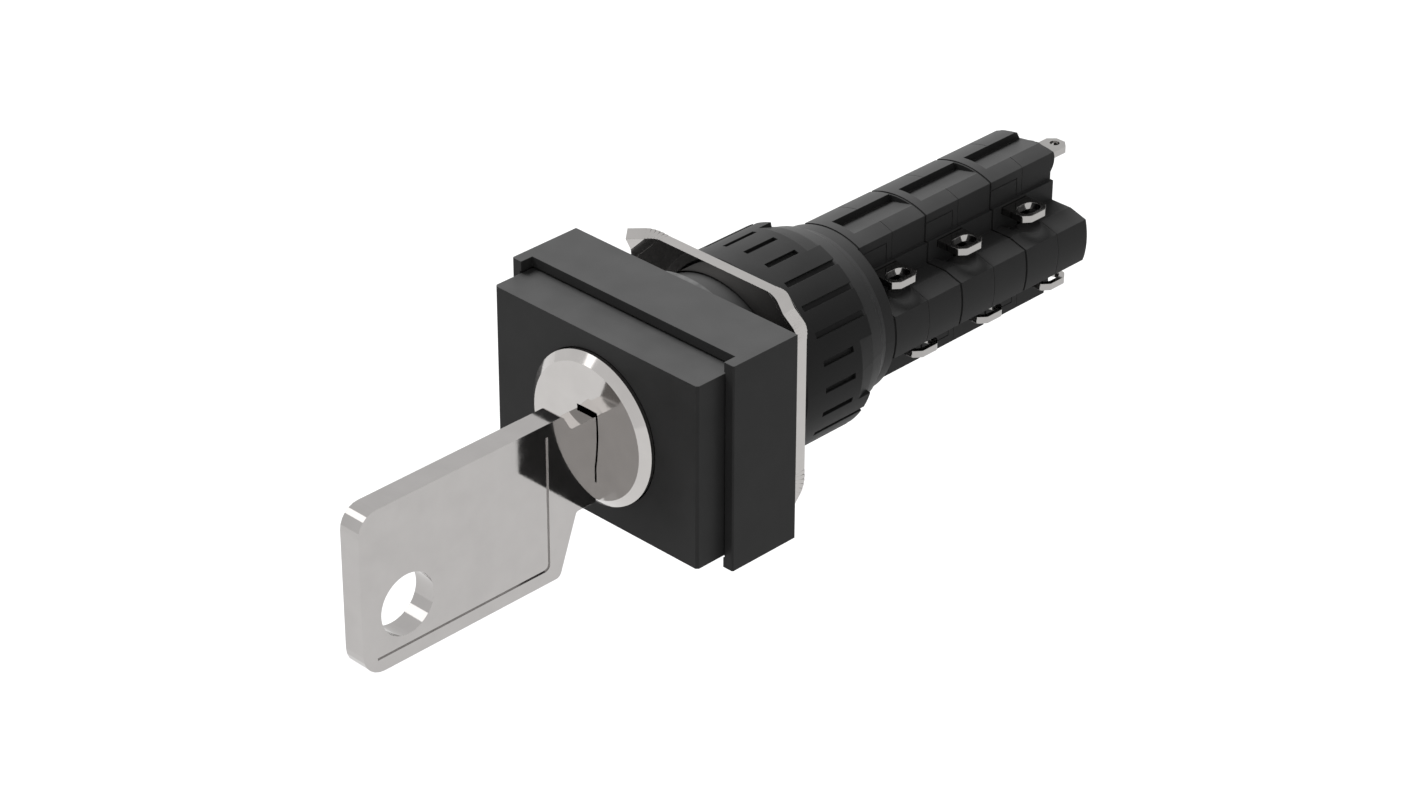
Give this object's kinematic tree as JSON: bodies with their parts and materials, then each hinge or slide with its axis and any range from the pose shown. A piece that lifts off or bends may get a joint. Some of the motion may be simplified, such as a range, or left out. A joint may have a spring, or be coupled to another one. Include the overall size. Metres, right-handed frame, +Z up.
{
  "type": "selector key switch",
  "caption": "Key-operated selector switch with square front, round barrel, ring nut, anti-twist plate and rear contact modules with solder lugs.",
  "frame": {"origin": "on the key axis, at the rear face of the front block, where it seats on the panel", "axes": "+Y along the key axis from the front to the rear, +Z up, +X to the right seen from the front"},
  "size_m": [0.024, 0.079, 0.0203],
  "materials": {
    "black_plastic": "fine satin moulded black",
    "black_gloss": "smooth semi-gloss black",
    "nut_plastic": "matt glass-filled black",
    "module_plastic": "satin moulded black",
    "cam_plastic": "natural acetal",
    "seal_rubber": "matt moulded rubber",
    "lock_chrome": "polished",
    "key_steel": "polished nickel plate",
    "plate_chrome": "bright plate",
    "lock_brass": "machined",
    "spring_steel": "bright drawn",
    "terminal_metal": "tinned, bright"
  },
  "bodies": {
    "housing": {"bezel_housing": "black_plastic", "front_plate": "black_gloss", "panel_seal": "seal_rubber", "lock_case": "lock_brass", "rear_sleeve": "black_plastic", "detent_spring": "spring_steel", "end_cap": "module_plastic", "rear_terminal": "terminal_metal", "contact_base_1": "module_plastic", "contact_cover_1": "module_plastic", "right_terminals_1": "terminal_metal", "left_terminals_1": "terminal_metal", "return_spring_1": "spring_steel", "contact_base_2": "module_plastic", "contact_cover_2": "module_plastic", "right_terminals_2": "terminal_metal", "left_terminals_2": "terminal_metal", "return_spring_2": "spring_steel", "contact_base_3": "module_plastic", "contact_cover_3": "module_plastic", "right_terminals_3": "terminal_metal", "left_terminals_3": "terminal_metal", "return_spring_3": "spring_steel"},
    "rotor": {"lock_rotor": "lock_chrome", "detainer_discs": "lock_brass", "disc_spacers": "spring_steel", "sidebar": "spring_steel", "rotor_clip": "spring_steel", "drive_shaft": "spring_steel", "detent_wheel": "cam_plastic", "contact_cam_1": "cam_plastic", "contact_cam_2": "cam_plastic", "contact_cam_3": "cam_plastic"},
    "key": {"key": "key_steel"},
    "twist_plate": {"anti_twist_plate": "plate_chrome"},
    "nut": {"ring_nut": "nut_plastic"},
    "carrier_1": {"plunger_1": "cam_plastic", "contact_bridges_1": "terminal_metal"},
    "carrier_2": {"plunger_2": "cam_plastic", "contact_bridges_2": "terminal_metal"},
    "carrier_3": {"plunger_3": "cam_plastic", "contact_bridges_3": "terminal_metal"}
  },
  "joints": [
    {"name": "key_turn", "type": "hinge", "parent": "housing", "child": "rotor", "pos_m": [0, 0, 0], "axis": [0, 1, 0], "range_deg": [0, 90], "deforming": ["detent_spring", "return_spring_1", "return_spring_2", "return_spring_3"]},
    {"name": "key_withdraw", "type": "slide", "parent": "rotor", "child": "key", "axis": [0, -1, 0], "range_m": [0, 0.02]},
    {"name": "plate_slide", "type": "slide", "parent": "housing", "child": "twist_plate", "axis": [0, -1, 0], "range_m": [0, 0.0015]},
    {"name": "nut_turn", "type": "hinge", "parent": "twist_plate", "child": "nut", "pos_m": [0, 0.008, 0], "axis": [0, -1, 0], "range_deg": [0, 541]},
    {"name": "carrier_slide_1", "type": "slide", "parent": "housing", "child": "carrier_1", "axis": [1, 0, 0], "range_m": [0, 0.00065]},
    {"name": "carrier_slide_2", "type": "slide", "parent": "housing", "child": "carrier_2", "axis": [1, 0, 0], "range_m": [0, 0.00065]},
    {"name": "carrier_slide_3", "type": "slide", "parent": "housing", "child": "carrier_3", "axis": [1, 0, 0], "range_m": [0, 0.00065]}
  ],
  "couplings": [
    {"joint": "nut_turn", "follows": "plate_slide", "rad_per_m": 6283.2},
    {"joint": "carrier_slide_1", "follows": "key_turn", "m_per_rad": 0.00038197},
    {"joint": "carrier_slide_2", "follows": "key_turn", "m_per_rad": 0.00038197},
    {"joint": "carrier_slide_3", "follows": "key_turn", "m_per_rad": 0.00038197}
  ]
}
